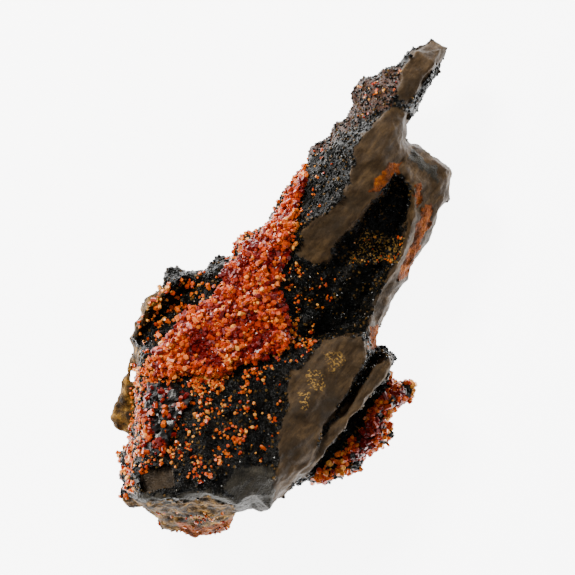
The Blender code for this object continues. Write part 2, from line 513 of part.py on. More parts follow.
def ground_under(tree, x, y):
    """The matrix's greatest height within half a grid step, so that the sheet bridges its hollows."""
    found = []
    for ring, count in ((0.0, 1), (0.3, 6), (0.6, 10)):
        for step in range(count):
            angle = math.tau * step / count
            reach = ring * CRUST_GRID
            place, _ = drop(tree, x + reach * math.cos(angle), y + reach * math.sin(angle))
            if place is not None:
                found.append(place.z)
    return max(found)


def spaced(edge, step):
    """The outline again, with points no further apart than the step."""
    found = []
    for (ax, ay), (bx, by) in zip(edge, edge[1:] + edge[:1]):
        parts = max(1, round(math.dist((ax, ay), (bx, by)) / step))
        found += [(ax + (bx - ax) * i / parts, ay + (by - ay) * i / parts) for i in range(parts)]
    return found


def edge_distance(x, y, edge):
    here = Vector((x, y))
    nearest = math.inf
    for a, b in zip(edge, edge[1:] + edge[:1]):
        on_line, share = geometry.intersect_point_line(here, Vector(a), Vector(b))
        on_line = Vector(a).lerp(Vector(b), max(0.0, min(1.0, share)))
        nearest = min(nearest, (here - on_line).length)
    return nearest


def make_crust(name, matrix, spec, seed):
    random.seed(seed)
    ground = surface_of(matrix)
    crust = crust_shell(name, ground, spec)
    shell = surface_of(crust)
    edge = spec["edge"]
    low, high = spec["crystal"]
    xs = [p[0] for p in edge]
    ys = [p[1] for p in edge]
    taken = []

    def build(bm):
        tries = 0
        while len(taken) < spec["count"] and tries < 20000:
            tries += 1
            x = random.uniform(min(xs), max(xs))
            y = random.uniform(min(ys), max(ys))
            half_width = random.uniform(low, high) / 1.2
            if not inside(x, y, edge) or edge_distance(x, y, edge) < half_width:
                continue
            place, normal = drop(shell, x, y)
            if place is None or any((place - p).length < half_width + r + 0.12 for p, r in taken):
                continue
            taken.append((place, half_width))
            lean = Vector((random.uniform(-0.5, 0.5), random.uniform(-0.5, 0.5), 0.4))
            axis = (normal + lean).normalized()
            add_crystal(bm, place, axis, half_width, half_width * random.uniform(0.7, 1.4), 0.35)

    combine(crust, cutter("crystals", build), "UNION")
    return crust


def coloured(obj, name, colour, roughness):
    material = bpy.data.materials.new(name)
    material.use_nodes = True
    shader = material.node_tree.nodes["Principled BSDF"]
    shader.inputs["Base Color"].default_value = (*colour, 1.0)
    shader.inputs["Roughness"].default_value = roughness
    shader.inputs["Metallic"].default_value = 0.0
    obj.data.materials.clear()
    obj.data.materials.append(material)


def main():
    for old in list(bpy.data.objects):
        bpy.data.objects.remove(old)
    matrix = make_matrix()
    crusts = [make_crust(name, matrix, spec, seed) for seed, (name, spec) in enumerate(CRUSTS.items())]
    grow_loose_crystals(matrix)
    coloured(matrix, "goethite", (0.06, 0.045, 0.03), 0.6)
    for crust in crusts:
        coloured(crust, crust.name, (0.62, 0.12, 0.03), 0.35)
    for obj in (matrix, *crusts):
        obj.data.transform(Matrix.Scale(MM, 4))


main()
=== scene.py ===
"""Looks of a vanadinite specimen: orange-red hexagonal crystals on black and brown goethite.

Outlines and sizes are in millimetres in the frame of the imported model, seen from above:
x to the right, y up the specimen, z towards the viewer.
"""

import bmesh
import bpy
import numpy as np
from bpy.props import FloatProperty, FloatVectorProperty, IntProperty, PointerProperty
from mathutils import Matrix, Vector, noise


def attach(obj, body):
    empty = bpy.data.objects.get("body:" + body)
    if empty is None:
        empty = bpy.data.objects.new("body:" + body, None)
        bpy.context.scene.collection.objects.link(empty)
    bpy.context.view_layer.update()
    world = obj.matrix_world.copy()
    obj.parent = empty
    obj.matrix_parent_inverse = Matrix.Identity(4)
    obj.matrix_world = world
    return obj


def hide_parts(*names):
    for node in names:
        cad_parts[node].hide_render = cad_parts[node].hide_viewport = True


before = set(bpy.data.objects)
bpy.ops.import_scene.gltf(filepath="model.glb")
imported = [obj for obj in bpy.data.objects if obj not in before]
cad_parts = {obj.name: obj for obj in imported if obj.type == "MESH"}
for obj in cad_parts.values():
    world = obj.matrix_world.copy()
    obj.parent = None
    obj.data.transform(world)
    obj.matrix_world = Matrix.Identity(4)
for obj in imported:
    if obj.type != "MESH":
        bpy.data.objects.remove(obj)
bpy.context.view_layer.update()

bl_info = {
    "name": "Vanadinite on matrix",
    "version": (1, 0, 0),
    "blender": (4, 5, 0),
    "location": "View3D > Sidebar > Specimen",
    "description": "Dresses a goethite matrix with druse, stains and vanadinite crystals",
    "category": "Object",
}

MM = 0.001
BODY = "root"

# Parts of the matrix's front with a finish of their own, later ones over earlier ones
REGIONS = (
    ("underside", "ochre", ((-26.5, -33.0), (-16.3, -33.2), (-11.5, -32.1), (-7.0, -34.2), (-7.0, -41.0),
                            (-26.5, -41.0))),
    # The underside rim takes the brighter rust orange: partly the orange coating, partly painted light where
    # the lower side is lit
    ("underside rim painted lit", "rust", ((-16.6, -37.2), (-12.0, -38.0), (-7.6, -36.6), (-7.6, -41.0),
                               (-16.8, -41.0))),
    ("fin", "ochre", ((-28.5, -25.0), (-24.2, -25.0), (-23.9, -18.0), (-22.6, -9.6), (-24.4, -8.4),
                      (-28.5, -14.0))),
    ("cavity rim", "ochre", ((-25.4, -8.4), (-23.2, -1.2), (-20.2, 0.4), (-18.4, 0.6), (-19.4, -1.8),
                             (-21.6, -3.6), (-23.0, -7.6))),
    ("red druse", "redbrown", ((10.4, 33.0), (15.0, 35.2), (18.4, 36.2), (19.0, 34.9), (18.1, 31.0),
                               (17.2, 29.2), (13.4, 27.0), (10.4, 28.0))),
    ("shoulder", "redbrown", ((3.4, 24.0), (7.4, 25.6), (10.4, 28.4), (12.4, 26.6), (9.6, 24.4), (6.4, 22.0),
                              (3.8, 21.4))),
    ("spire face", "brown", ((21.4, 38.6), (18.9, 34.9), (18.1, 30.9), (19.8, 29.4), (20.6, 30.1),
                             (21.9, 31.7), (23.0, 33.8), (24.3, 35.2), (27.0, 38.2), (25.0, 40.4))),
    ("spire rim", "grey", ((26.8, 37.6), (25.0, 35.4), (22.8, 31.8), (21.2, 28.4), (20.4, 26.6),
                           (21.6, 28.0), (24.6, 33.6), (27.0, 37.6))),
    ("band", "brown", ((17.1, 29.1), (16.5, 28.3), (15.4, 26.6), (13.8, 25.1), (12.5, 24.2), (11.2, 22.2),
                       (11.4, 19.7), (9.9, 15.0), (7.8, 12.8), (4.6, 10.7), (3.2, 8.8), (2.9, 7.2),
                       (2.1, 5.3), (4.3, 4.3), (7.0, 3.7), (7.8, 5.3), (8.6, 7.2), (9.9, 8.6),
                       (12.5, 10.9), (13.8, 13.0), (15.8, 15.0), (17.0, 17.3), (18.2, 18.8),
                       (19.6, 22.4), (20.6, 25.0), (21.0, 27.0), (19.6, 28.6))),
    ("wall", "brown", ((18.2, 18.8), (19.5, 17.8), (20.6, 15.7), (20.5, 14.1), (20.0, 11.7), (19.5, 9.3),
                       (18.6, 5.4), (17.0, 2.2), (15.0, -1.8), (13.4, -6.6), (14.6, -9.4), (19.4, -2.0),
                       (24.8, 8.0), (28.6, 18.0), (24.0, 23.6), (19.6, 24.4))),
    ("wall face", "grey", ((20.8, 22.4), (24.6, 19.4), (25.2, 17.4), (22.6, 18.6), (20.2, 20.6))),
    ("wedge", "brown", ((7.0, -8.2), (4.6, -10.1), (3.7, -11.8), (1.1, -13.4), (0.8, -15.7), (1.3, -17.8),
                        (0.3, -20.3), (-0.2, -22.6), (-0.6, -27.7), (-1.9, -34.6), (-0.4, -34.2),
                        (3.5, -28.8), (6.7, -21.3), (8.8, -19.7), (9.0, -18.6), (11.0, -15.2),
                        (12.5, -12.6), (14.2, -9.4), (12.5, -7.2), (9.3, -7.3))),
    ("slab", "brown", ((18.2, -10.6), (15.6, -11.0), (11.6, -16.6), (8.0, -21.2), (4.6, -25.8),
                       (1.4, -29.8), (3.6, -30.2), (6.4, -26.8), (9.8, -22.4), (13.8, -17.2),
                       (17.6, -12.8))),
    ("lower fracture", "grey", ((-6.8, -27.6), (-1.0, -27.4), (-1.2, -33.0), (-1.8, -36.2), (-7.0, -36.2),
                                (-7.8, -32.4), (-9.2, -30.6))),
    ("lower rim", "grey", ((-24.2, -29.2), (-23.4, -29.4), (-22.8, -32.0), (-16.3, -32.1), (-11.5, -31.0),
                           (-6.8, -33.2), (-6.8, -34.2), (-11.5, -32.1), (-16.3, -33.2), (-23.6, -33.2))),
    ("recess", "umber", ((-22.0, -28.3), (-17.2, -27.6), (-16.8, -31.3), (-21.7, -31.8))),
    ("stain", "rust", ((18.8, 20.2), (16.6, 19.4), (15.0, 17.4), (14.0, 15.2), (15.6, 15.0), (17.0, 17.2),
                       (18.4, 18.6))),
    ("wall streak", "rust", ((20.9, 16.4), (21.9, 16.6), (22.6, 14.2), (21.5, 12.8))),
    ("wall strip", "rust", ((23.4, 13.4), (22.5, 12.9), (21.3, 9.0), (19.6, 4.6), (18.7, 1.4), (19.9, 1.8),
                            (21.6, 5.2), (23.2, 9.2), (24.3, 12.0))),
    ("wall foot", "rust", ((14.0, -6.2), (16.0, -6.4), (15.6, -9.4), (14.0, -9.4))),
    ("upper specks", "gold", ((6.8, -10.0), (9.4, -9.8), (9.6, -12.0), (7.4, -12.6))),
    ("middle specks", "gold", ((4.0, -12.6), (6.6, -13.0), (6.8, -15.4), (4.6, -15.6))),
    ("lower specks", "gold", ((2.4, -15.8), (4.6, -16.0), (4.4, -18.8), (2.6, -18.8))),
    ("pocket specks", "gold", ((12.8, 9.0), (19.6, 8.4), (18.6, 4.4), (10.6, 4.0))),
)

# Gold specks lie over another finish, and the other finishes replace each other
FINISHES = ("brown", "grey", "ochre", "rust", "redbrown", "umber", "gold")
SMOOTH_FINISHES = ("brown", "grey", "umber")

# Where single crystals stand: outline, about how many to the square millimetre, and their half width
SCATTERS = (
    ("druse", ((-23.0, -12.0), (-14.0, -12.6), (-6.0, -11.6), (-0.4, -12.4), (-2.6, -16.0), (-5.0, -22.0),
               (-8.0, -27.2), (-12.0, -30.6), (-18.0, -27.0), (-22.8, -28.0)), 1.5, (0.12, 0.3)),
    ("ribs", ((-5.0, -14.0), (0.0, -13.4), (0.2, -20.0), (-2.0, -27.0), (-7.0, -27.0)), 0.25, (0.12, 0.3)),
    ("left edge", ((-24.6, -12.0), (-20.0, -12.6), (-19.0, -20.0), (-20.0, -29.0), (-24.6, -29.0)), 1.3,
     (0.12, 0.28)),
    ("lower left", ((-26.0, -24.0), (-23.4, -24.0), (-23.0, -33.0), (-26.4, -33.0)), 1.0, (0.18, 0.4)),
    ("cavity", ((-24.2, -9.6), (-22.6, -4.0), (-18.6, 1.6), (-12.8, 2.6), (-9.6, 3.6), (-11.0, -1.0),
                (-16.0, -3.6), (-19.6, -9.0)), 0.6, (0.17, 0.42)),
    ("right of crust", ((0.6, 4.0), (2.4, 5.0), (4.4, -1.0), (5.4, -6.8), (5.0, -9.6), (1.0, -12.4),
                        (-1.6, -10.6), (0.6, -5.0)), 1.5, (0.13, 0.32)),
    ("fringe", ((-1.2, 12.6), (1.0, 17.0), (3.6, 20.4), (4.6, 19.6), (3.4, 15.0), (3.2, 10.0), (2.2, 6.4),
                (0.8, 6.0)), 1.7, (0.16, 0.34)),
    ("velvet", ((3.4, 20.0), (4.4, 23.0), (8.0, 22.0), (8.0, 14.0), (4.0, 11.0), (3.0, 8.0)), 0.22,
     (0.12, 0.24)),
    ("spire", ((11.0, 28.4), (12.0, 33.6), (18.0, 35.4), (20.6, 38.2), (19.0, 34.6), (17.2, 29.0),
               (13.0, 27.0)), 0.35, (0.12, 0.24)),
    ("pocket", ((12.8, 9.0), (19.6, 8.4), (18.6, 4.4), (9.6, 3.0), (9.0, 6.0)), 0.45, (0.1, 0.22)),
    ("pocket foot", ((2.4, 3.2), (9.0, 3.0), (9.4, -2.0), (4.6, -4.0)), 0.5, (0.12, 0.26)),
    ("ledge", ((17.2, -13.6), (21.4, -15.0), (21.2, -18.0), (18.0, -21.0), (18.2, -24.8), (12.6, -29.4),
               (5.0, -31.8), (4.6, -30.4), (9.6, -26.0), (14.4, -19.4)), 1.7, (0.2, 0.5)),
    ("below crust", ((-22.0, -9.0), (-14.0, -11.0), (-6.0, -10.0), (-2.6, -10.0), (-5.6, -15.4),
                     (-14.0, -17.4), (-22.0, -16.6)), 3.4, (0.12, 0.3)),
    ("crust outline", ((-9.0, 4.6), (-6.6, 9.4), (-3.4, 10.0), (-0.8, 14.0), (3.0, 20.6), (4.4, 18.6),
                       (0.8, 10.0), (-5.0, 3.0)), 2.2, (0.13, 0.34)),
    ("foot", ((-21.0, -35.0), (-8.0, -35.0), (-8.0, -40.0), (-20.0, -40.0)), 0.35, (0.12, 0.26)),
)

# Hollows of the main crust, where the relief drops and the crystals are painted a deeper red as shade: x, y,
# radius, and how far the relief drops
HOLLOWS = (
    (-4.5, 7.7, 1.0, 1.4),
    (-6.2, 4.3, 1.1, 1.4),
    (-7.0, 1.4, 1.0, 1.2),
    (-13.8, -9.6, 1.2, 1.3),
    (-11.8, -9.8, 1.2, 1.2),
    (-1.6, -2.6, 0.9, 0.9),
    (-11.4, -3.4, 1.0, 0.9),
)

# Turns the crust's ridges to run from the lower left to the upper right, and draws them out that way
RIDGE_TURN = np.array(((0.33, -0.66, 0.0), (0.33, 0.66, 0.0), (0.0, 0.0, 0.5)))

# The crust's relief in millimetres: its lift, then the grain and depth of each kind of fold
CRUST_LIFT = 0.75
RIDGE_GRAIN = 2.0
RIDGE_DEPTH = 4.2
FOLD_GRAIN = 1.2
FOLD_DEPTH = 1.3
SWELL_GRAIN = 5.0
SWELL_HEIGHT = 0.8
CRUST_VOXEL = 0.4
CRYSTAL_GAP = 0.24

# The rock's relief in millimetres
LUMP_GRAIN = 2.3
BEAD_GRAIN = 1.1
CHIP_GRAIN = 1.9
FACET_GRAIN = 4.5
FACET_DEPTH = 0.45
SEAT_TOP = 0.25
LOWEST = 0.02
MOST_TRIANGLES = 192000
MERGE_DISTANCE = 0.000002
DRUSE_SEED = 5

# The scatter: draws for each crystal, how they clump, least spacing in half widths, and how many
# of the clumped places there are for each crystal
SCATTER_DRAWS = 3.0
CLUMP_GRAIN = 2.6
CLUMP_LIMITS = (-0.35, 0.55)
SCATTER_GAP = 1.3
PLACES_PER_CRYSTAL = 1.2

# The stage, in metres: each lamp with its place, size, share of the key's power, and colour
FLOOR_SIZE = 6.0
MIDDLE = (0.0, 0.0, 0.014)
WHITE = (1.0, 1.0, 1.0)
LAMPS = (
    ("key", (-0.24, 0.24, 0.36), 0.1, 1.0, (1.0, 0.96, 0.9)),
    ("overhead", (0.04, 0.1, 0.6), 0.3, 0.25, WHITE),
    ("fill", (0.35, -0.1, 0.3), 0.3, 0.08, WHITE),
)


def inside(x, y, outline):
    """Whether each place is inside an outline."""
    hit = np.zeros(x.shape, bool)
    for (ax, ay), (bx, by) in zip(outline, outline[1:] + outline[:1]):
        if ay == by:
            continue
        crosses = ((ay > y) != (by > y)) & (x < (bx - ax) * (y - ay) / (by - ay) + ax)
        hit ^= crosses
    return hit


def read_points(mesh):
    """A mesh's points in millimetres, and their normals."""
    points = np.empty(len(mesh.vertices) * 3)
    normals = np.empty(len(mesh.vertices) * 3)
    mesh.vertices.foreach_get("co", points)
    mesh.vertices.foreach_get("normal", normals)
    return points.reshape(-1, 3) / MM, normals.reshape(-1, 3)


def write_points(mesh, points):
    """Moves a mesh's points to places in millimetres."""
    mesh.vertices.foreach_set("co", (points * MM).ravel())
    mesh.update()


def field(points, grain, octaves=3):
    """A fractal between about -1 and 1 at each point, with a grain in millimetres."""
    scaled = points / grain
    return np.array([noise.fractal(Vector(p), 0.8, 2.0, octaves) for p in scaled.tolist()])


def cells(points, grain):
    """The distance to the nearest of scattered seeds, in grains: 0 in the middle of a round lump."""
    scaled = points / grain
    return np.array([noise.voronoi(Vector(p))[0][0] for p in scaled.tolist()])


def set_attribute(mesh, name, values):
    layer = mesh.attributes.new(name, "FLOAT", "POINT")
    layer.data.foreach_set("value", values.astype(np.float32))


def only(obj):
    bpy.ops.object.select_all(action="DESELECT")
    obj.select_set(True)
    bpy.context.view_layer.objects.active = obj


def copy_of(node, name):
    """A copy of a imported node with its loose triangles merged."""
    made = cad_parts[node].copy()
    made.data = made.data.copy()
    made.name = name
    made.data.name = name
    bpy.context.scene.collection.objects.link(made)
    only(made)
    bpy.ops.object.mode_set(mode="EDIT")
    bpy.ops.mesh.select_all(action="SELECT")
    bpy.ops.mesh.remove_doubles(threshold=MERGE_DISTANCE)
    bpy.ops.object.mode_set(mode="OBJECT")
    return made


def apply_modifier(obj, kind, **settings):
    only(obj)
    modifier = obj.modifiers.new(kind.title(), kind)
    for name, value in settings.items():
        setattr(modifier, name, value)
    bpy.ops.object.modifier_apply(modifier=modifier.name)


class Nodes:
    """A material whose nodes are added and linked by short calls."""

    def __init__(self, name):
        self.material = bpy.data.materials.new(name)
        self.material.use_nodes = True
        self.tree = self.material.node_tree
        self.shader = self.tree.nodes["Principled BSDF"]
        self.place = self.add("ShaderNodeTexCoord").outputs["Object"]

    def add(self, kind, **settings):
        node = self.tree.nodes.new(kind)
        for name, value in settings.items():
            setattr(node, name, value)
        return node

    def feed(self, socket, value):
        if isinstance(value, bpy.types.NodeSocket):
            self.tree.links.new(value, socket)
        elif isinstance(value, tuple) and len(value) == 3 and socket.type == "RGBA":
            socket.default_value = (*value, 1.0)
        else:
            socket.default_value = value

    def attribute(self, name):
        return self.add("ShaderNodeAttribute", attribute_name=name).outputs["Fac"]

    def noise(self, grain, detail=4.0, rough=0.6, stretch=(1.0, 1.0, 1.0), turn=0.0):
        """Noise whose features are about grain millimetres wide, drawn out along a turned axis."""
        mapping = self.add("ShaderNodeMapping", vector_type="TEXTURE")
        mapping.inputs["Rotation"].default_value = (0.0, 0.0, turn)
        mapping.inputs["Scale"].default_value = tuple(grain * MM * s for s in stretch)
        self.feed(mapping.inputs["Vector"], self.place)
        texture = self.add("ShaderNodeTexNoise")
        self.feed(texture.inputs["Vector"], mapping.outputs["Vector"])
        texture.inputs["Scale"].default_value = 1.0
        texture.inputs["Detail"].default_value = detail
        texture.inputs["Roughness"].default_value = rough
        return texture.outputs["Fac"]

    def lumps(self, grain):
        """Round lumps about grain millimetres apart."""
        texture = self.add("ShaderNodeTexVoronoi")
        self.feed(texture.inputs["Vector"], self.place)
        texture.inputs["Scale"].default_value = 1.0 / (grain * MM)
        return texture.outputs["Distance"]

    def ramp(self, value, stops):
        """A colour that follows a value from stop to stop."""
        node = self.add("ShaderNodeValToRGB")
        ramp = node.color_ramp
        while len(ramp.elements) < len(stops):
            ramp.elements.new(0.5)
        for element, (position, colour) in zip(ramp.elements, stops):
            element.position = position
            element.color = (*colour, 1.0)
        self.feed(node.inputs["Fac"], value)
        return node.outputs["Color"]

    def steps(self, value, low, high, to_low=0.0, to_high=1.0):
        """A value whose range from low to high is brought to another range."""
        node = self.add("ShaderNodeMapRange")
        ends = (("From Min", low), ("From Max", high), ("To Min", to_low), ("To Max", to_high))
        for name, number in ends:
            node.inputs[name].default_value = number
        self.feed(node.inputs["Value"], value)
        return node.outputs["Result"]

    def mix(self, share, first, second):
        """A colour between two colours."""
        node = self.add("ShaderNodeMix", data_type="RGBA")
        self.feed(node.inputs[0], share)
        self.feed(node.inputs[6], first)
        self.feed(node.inputs[7], second)
        return node.outputs[2]

    def blend(self, share, first, second):
        """A number between two numbers."""
        node = self.add("ShaderNodeMix", data_type="FLOAT")
        self.feed(node.inputs[0], share)
        self.feed(node.inputs[2], first)
        self.feed(node.inputs[3], second)
        return node.outputs[0]

    def maths(self, operation, first, second):
        node = self.add("ShaderNodeMath", operation=operation)
        self.feed(node.inputs[0], first)
        self.feed(node.inputs[1], second)
        return node.outputs[0]

    def bump(self, height, depth, strength=1.0):
        node = self.add("ShaderNodeBump")
        node.inputs["Strength"].default_value = strength
        node.inputs["Distance"].default_value = depth * MM
        self.feed(node.inputs["Height"], height)
        self.feed(self.shader.inputs["Normal"], node.outputs["Normal"])

    def finish(self, obj):
        obj.data.materials.clear()
        obj.data.materials.append(self.material)


def goethite_material(settings):
    """Black druse, with the finish of each region over it."""
    nodes = Nodes("goethite")
    dust = nodes.noise(1.6, detail=6.0)
    fine = nodes.noise(0.35, detail=3.0)
    colour = nodes.ramp(dust, ((0.35, tuple(settings.druse)), (0.62, (0.005, 0.0045, 0.0035)),
                               (0.8, (0.02, 0.014, 0.007))))
    fibre = nodes.noise(1.1, detail=6.0, rough=0.65, stretch=(2.4, 0.8, 1.0), turn=0.86)
    patches = nodes.noise(4.0, detail=3.0)
    brown = nodes.ramp(fibre, ((0.3, (0.02, 0.011, 0.0045)), (0.5, tuple(settings.fracture)),
                               (0.72, (0.1, 0.06, 0.026))))
    brown = nodes.mix(nodes.steps(patches, 0.45, 0.7), brown, (0.026, 0.017, 0.009))
    grey = nodes.ramp(fibre, ((0.3, (0.01, 0.009, 0.007)), (0.7, (0.045, 0.039, 0.028))))
    ochre = nodes.ramp(dust, ((0.4, (0.016, 0.009, 0.003)), (0.54, tuple(settings.ochre)),
                              (0.7, (0.4, 0.2, 0.03))))
    rust = nodes.ramp(dust, ((0.36, (0.05, 0.014, 0.003)), (0.55, tuple(settings.rust)),
                             (0.75, (0.45, 0.14, 0.01))))
    redbrown = nodes.ramp(fine, ((0.35, (0.012, 0.006, 0.004)), (0.65, (0.075, 0.028, 0.012))))
    umber = nodes.ramp(dust, ((0.3, (0.014, 0.011, 0.008)), (0.7, (0.06, 0.042, 0.026))))
    rough = 0.34
    finishes = (("brown", brown, 0.62), ("grey", grey, 0.55), ("ochre", ochre, 0.7), ("rust", rust, 0.75),
                ("redbrown", redbrown, 0.45), ("umber", umber, 0.5))
    for name, shade, roughness in finishes:
        share = nodes.attribute(name)
        colour = nodes.mix(share, colour, shade)
        rough = nodes.blend(share, rough, roughness)
    specks = nodes.maths("MULTIPLY", nodes.attribute("gold"), nodes.steps(fine, 0.52, 0.58))
    colour = nodes.mix(specks, colour, (0.3, 0.17, 0.04))
    nodes.feed(nodes.shader.inputs["Base Color"], colour)
    nodes.shader.inputs["Specular IOR Level"].default_value = 0.12
    uneven = nodes.steps(fine, 0.3, 0.7, -0.1, 0.1)
    nodes.feed(nodes.shader.inputs["Roughness"], nodes.maths("ADD", rough, uneven))
    drusy = nodes.blend(nodes.attribute("brown"), nodes.maths("MULTIPLY", nodes.lumps(0.28), 1.2),
                        nodes.maths("MULTIPLY", fibre, 0.9))
    nodes.bump(nodes.maths("ADD", drusy, fine), 0.12, 0.9)
    return nodes


def crystal_material(name, settings):
    """Deep red to cream by each crystal's shade, and black on the bare patches of a crust. On the crusts the
    shade follows the relief, so the deep red is painted shade in the hollows and the orange and cream are
    painted light on the raised parts and crests.
    """
    nodes = Nodes(name)
    shade = nodes.attribute("shade")
    streak = nodes.noise(0.5, detail=2.0)
    mixed = nodes.maths("ADD", shade, nodes.steps(streak, 0.3, 0.7, -0.12, 0.12))
    # On the crusts this ramp runs from painted shade in the hollows to a painted highlight on the crests,
    # with a random tone over it
    colour = nodes.ramp(mixed, ((0.05, tuple(settings.painted_hollow_shade)), (0.4, tuple(settings.crystal)),
                                (0.7, tuple(settings.orange)), (0.95, tuple(settings.cream_and_highlight))))
    colour = nodes.mix(nodes.attribute("bare"), colour, (0.004, 0.0035, 0.003))
    nodes.feed(nodes.shader.inputs["Base Color"], colour)
    nodes.shader.inputs["Roughness"].default_value = 0.28
    nodes.shader.inputs["Specular IOR Level"].default_value = 0.3
    nodes.bump(nodes.noise(0.15, detail=2.0), 0.02, 0.5)
    return nodes


def druse_material():
    """Glossy black grains, a few of them golden."""
    nodes = Nodes("goethite_druse")
    stops = ((0.2, (0.003, 0.0035, 0.0035)), (0.8, (0.008, 0.007, 0.005)), (0.98, (0.1, 0.055, 0.015)))
    colour = nodes.ramp(nodes.attribute("shade"), stops)
    nodes.feed(nodes.shader.inputs["Base Color"], colour)
    nodes.shader.inputs["Roughness"].default_value = 0.2
    nodes.shader.inputs["Specular IOR Level"].default_value = 0.12
    nodes.bump(nodes.noise(0.2), 0.02, 0.4)
    return nodes


def surface_samples(obj, rng, density, allowed):
    """Random points and normals on the faces whose centres a test allows, so many to the mm2."""
    mesh = obj.data
    mesh.calc_loop_triangles()
    corners = np.empty(len(mesh.loop_triangles) * 3, np.int32)
    mesh.loop_triangles.foreach_get("vertices", corners)
    points, _ = read_points(mesh)
    corners = points[corners.reshape(-1, 3)]
    cross = np.cross(corners[:, 1] - corners[:, 0], corners[:, 2] - corners[:, 0])
    area = np.linalg.norm(cross, axis=1) / 2
    normal = cross / np.maximum(2 * area[:, None], 1e-12)
    keep = allowed(corners.mean(axis=1), normal) & (area > 0)
    corners, area, normal = corners[keep], area[keep], normal[keep]
    if not len(area):
        return np.empty((0, 3)), np.empty((0, 3))
    count = int(area.sum() * density)
    chosen = rng.choice(len(area), count, p=area / area.sum())
    a, b = rng.random((2, count, 1))
    flip = (a + b > 1)
    a, b = np.where(flip, 1 - a, a), np.where(flip, 1 - b, b)
    first, second, third = corners[chosen, 0], corners[chosen, 1], corners[chosen, 2]
    return first + a * (second - first) + b * (third - first), normal[chosen]


def spread_out(points, gap):
    """Drops points that stand closer together than the gap, keeping the earlier ones."""
    grid = {}
    kept = []
    for index, (cell, point) in enumerate(zip(np.floor(points / gap).astype(int).tolist(), points)):
        near = [grid.get((cell[0] + i, cell[1] + j, cell[2] + k)) for i in (-1, 0, 1)
                for j in (-1, 0, 1) for k in (-1, 0, 1)]
        if all(p is None or np.sum((p - point) ** 2) > gap * gap for p in near):
            grid[tuple(cell)] = point
            kept.append(index)
    return np.array(kept, int)


def template(add, shape):
    """One small shape, made by a primitive and shaped, as points and triangles."""
    bpy.ops.object.select_all(action="DESELECT")
    add()
    obj = bpy.context.active_object
    bm = bmesh.new()
    bm.from_mesh(obj.data)
    shape(bm)
    bmesh.ops.triangulate(bm, faces=bm.faces)
    points = np.array([v.co[:] for v in bm.verts])
    faces = np.array([[v.index for v in f.verts] for f in bm.faces])
    bm.free()
    bpy.data.objects.remove(obj)
    return points, faces


def crystal_template():
    """A stubby hexagonal prism with bevelled edges on its upper end and no foot."""
    def shape(bm):
        bmesh.ops.translate(bm, verts=bm.verts, vec=(0, 0, 0.5))
        foot = [f for f in bm.faces if f.normal.z < -0.9]
        bmesh.ops.delete(bm, geom=foot, context="FACES_ONLY")
        bm.faces.ensure_lookup_table()
        cap = [f for f in bm.faces if f.normal.z > 0.9]
        bmesh.ops.inset_region(bm, faces=cap, thickness=0.16, depth=0.14)
        bm.verts.index_update()

    return template(lambda: bpy.ops.mesh.primitive_cylinder_add(vertices=6, radius=1.0, depth=2.0), shape)


def grain_template():
    """A round grain of few faces, open below."""
    def shape(bm):
        foot = [f for f in bm.faces if f.calc_center_median().z < -0.45]
        bmesh.ops.delete(bm, geom=foot, context="FACES_ONLY")
        loose = [v for v in bm.verts if not v.link_faces]
        bmesh.ops.delete(bm, geom=loose, context="VERTS")
        bm.verts.index_update()

    return template(lambda: bpy.ops.mesh.primitive_ico_sphere_add(subdivisions=1, radius=1.0), shape)


def copies(name, shape, places, axes, widths, reaches, shades, rng):
    """One mesh of many copies of a small shape, each turned, stretched and shaded."""
    points, faces = shape
    count = len(places)
    axes = axes / np.linalg.norm(axes, axis=1, keepdims=True)
    side = np.cross(axes, rng.normal(size=(count, 3)))
    side /= np.linalg.norm(side, axis=1, keepdims=True)
    other = np.cross(axes, side)
    local = points[None] * np.stack([widths, widths, reaches], axis=1)[:, None]
    world = (local[:, :, :1] * side[:, None] + local[:, :, 1:2] * other[:, None]
             + local[:, :, 2:] * axes[:, None] + places[:, None])
    index = (faces[None] + (np.arange(count) * len(points))[:, None, None]).reshape(-1, 3)
    mesh = bpy.data.meshes.new(name)
    mesh.vertices.add(count * len(points))
    mesh.vertices.foreach_set("co", (world.reshape(-1, 3) * MM).ravel())
    mesh.loops.add(len(index) * 3)
    mesh.loops.foreach_set("vertex_index", index.ravel().astype(np.int32))
    mesh.polygons.add(len(index))
    mesh.polygons.foreach_set("loop_start", np.arange(len(index), dtype=np.int32) * 3)
    mesh.update(calc_edges=True)
    mesh.shade_flat()
    set_attribute(mesh, "shade", np.repeat(shades, len(points)))
    obj = bpy.data.objects.new(name, mesh)
    bpy.context.scene.collection.objects.link(obj)
    return obj


def join(obj, others):
    """Joins other objects into one."""
    bpy.ops.object.select_all(action="DESELECT")
    for other in others:
        other.select_set(True)
    obj.select_set(True)
    bpy.context.view_layer.objects.active = obj
    bpy.ops.object.join()


def keep(obj, slot, *nodes):
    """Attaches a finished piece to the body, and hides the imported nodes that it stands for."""
    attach(obj, BODY)
    if nodes:
        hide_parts(*nodes)


def shade_masks(points, normals):
    """For each finish, which points of the matrix have it."""
    x = points[:, 0] + field(points, 2.0, 5) * 0.6
    y = points[:, 1] + field(points + 40.0, 2.0, 5) * 0.6
    front = normals[:, 2] > -0.25
    masks = {name: np.zeros(len(points)) for name in FINISHES}
    behind = ~front
    masks["ochre"][behind] = np.clip(field(points[behind], 5.0) * 1.6 + 0.25, 0, 1)
    for _, finish, outline in REGIONS:
        here = front & inside(x, y, outline)
        if finish != "gold":
            for name in FINISHES:
                masks[name][here] = 0.0
        masks[finish][here] = 1.0
    return masks


